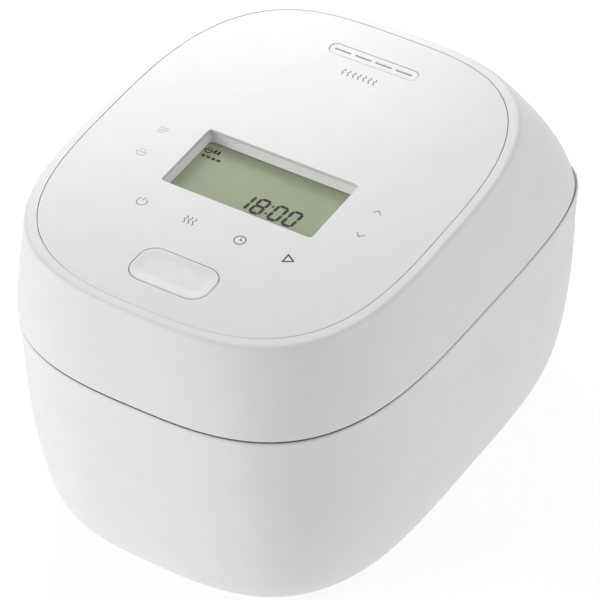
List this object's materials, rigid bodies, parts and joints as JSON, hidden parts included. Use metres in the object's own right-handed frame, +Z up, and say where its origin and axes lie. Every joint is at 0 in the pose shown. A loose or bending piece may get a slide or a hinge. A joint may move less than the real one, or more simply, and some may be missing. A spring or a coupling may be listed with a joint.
{
  "type": "rice cooker",
  "caption": "White induction rice cooker with a rounded body, a removable inner pot and a rear-hinged lid carrying a latch button, a display and a slotted steam outlet.",
  "frame": {"origin": "on the floor under the middle of the cooker's bounding box, feet on z = 0", "axes": "+X is the cooker's right side, -Y its front (the latch button's side), +Z up"},
  "size_m": [0.24, 0.3099, 0.2036],
  "materials": {
    "white_shell": "satin moulded white",
    "panel_white": "smooth semi-gloss white sheet",
    "deck_grey": "fine satin light grey",
    "base_grey": "matte grey",
    "dark_plastic": "matte black",
    "bezel_grey": "matte light grey",
    "window_clear": "clear gloss",
    "display": "grey-green reflective liquid crystal",
    "rubber": "matte black",
    "silicone": "translucent grey silicone",
    "steel": "zinc plated",
    "aluminium": "satin",
    "pot_coating": "dark non-stick coating",
    "copper": "enamelled copper winding",
    "brass": "nickel-free plain brass",
    "ferrite": "matte dark",
    "board": "green laminate"
  },
  "bodies": {
    "base": {"body_shell": "white_shell", "top_frame": "deck_grey", "base_plate": "base_grey", "foot_1": "rubber", "foot_2": "rubber", "foot_3": "rubber", "foot_4": "rubber", "base_screw_1": "steel", "base_screw_2": "steel", "base_screw_3": "steel", "base_screw_4": "steel", "pot_well": "dark_plastic", "coil_holder": "dark_plastic", "coil_inner": "copper", "coil_outer": "copper", "coil_side": "copper", "ferrite_bar_1": "ferrite", "ferrite_bar_2": "ferrite", "ferrite_bar_3": "ferrite", "ferrite_bar_4": "ferrite", "sensor_holder": "dark_plastic", "power_board": "board", "heat_sink": "aluminium", "power_capacitor": "dark_plastic", "power_relay": "board", "fan_frame": "dark_plastic", "power_inlet": "dark_plastic", "inlet_pin_1": "brass", "inlet_pin_2": "brass", "hinge_cover": "white_shell", "hinge_shaft": "steel", "hinge_spring": "steel"},
    "pot": {"inner_pot": "pot_coating"},
    "bottom_sensor": {"bottom_sensor": "aluminium", "sensor_spring": "steel"},
    "fan_rotor": {"fan_rotor": "dark_plastic"},
    "lid": {"lid_shell": "white_shell", "top_panel": "panel_white", "window_lens": "window_clear", "lcd_bezel": "bezel_grey", "lcd_module": "display", "control_board": "board", "button_guide": "deck_grey", "latch_bracket": "steel", "latch_pin": "steel", "lid_liner": "deck_grey", "heater_plate": "aluminium", "lid_heater": "silicone", "inner_lid": "aluminium", "lid_gasket": "silicone", "steam_duct": "silicone", "steam_grille": "panel_white", "hinge_arm_left": "white_shell", "hinge_arm_right": "white_shell", "hinge_pocket": "white_shell"},
    "hook_button": {"hook_button": "panel_white", "button_spring": "steel"},
    "latch_hook": {"latch_hook": "steel"}
  },
  "joints": [
    {"name": "lid_hinge", "type": "hinge", "parent": "base", "child": "lid", "pos_m": [0, 0.141, 0.138], "axis": [-1, 0, 0], "range_deg": [0, 95]},
    {"name": "button_press", "type": "slide", "parent": "lid", "child": "hook_button", "axis": [0, 0, -1], "range_m": [0, 0.003], "stiffness_N_per_m": 900, "deforming": ["button_spring"]},
    {"name": "latch_turn", "type": "hinge", "parent": "lid", "child": "latch_hook", "pos_m": [0, -0.128, 0.148], "axis": [-1, 0, 0], "range_deg": [0, 9.85]},
    {"name": "sensor_press", "type": "slide", "parent": "base", "child": "bottom_sensor", "axis": [0, 0, -1], "range_m": [0, 0.003], "stiffness_N_per_m": 300, "deforming": ["sensor_spring"]},
    {"name": "fan_spin", "type": "hinge", "parent": "base", "child": "fan_rotor", "pos_m": [0.05, 0.104, 0.006], "axis": [0, 0, 1], "continuous": true},
    {"name": "pot_turn", "type": "hinge", "parent": "base", "child": "pot", "pos_m": [0, -0.022, 0.03], "axis": [0, 0, 1], "continuous": true}
  ],
  "couplings": [
    {"joint": "latch_turn", "follows": "button_press", "rad_per_m": 57.143}
  ]
}
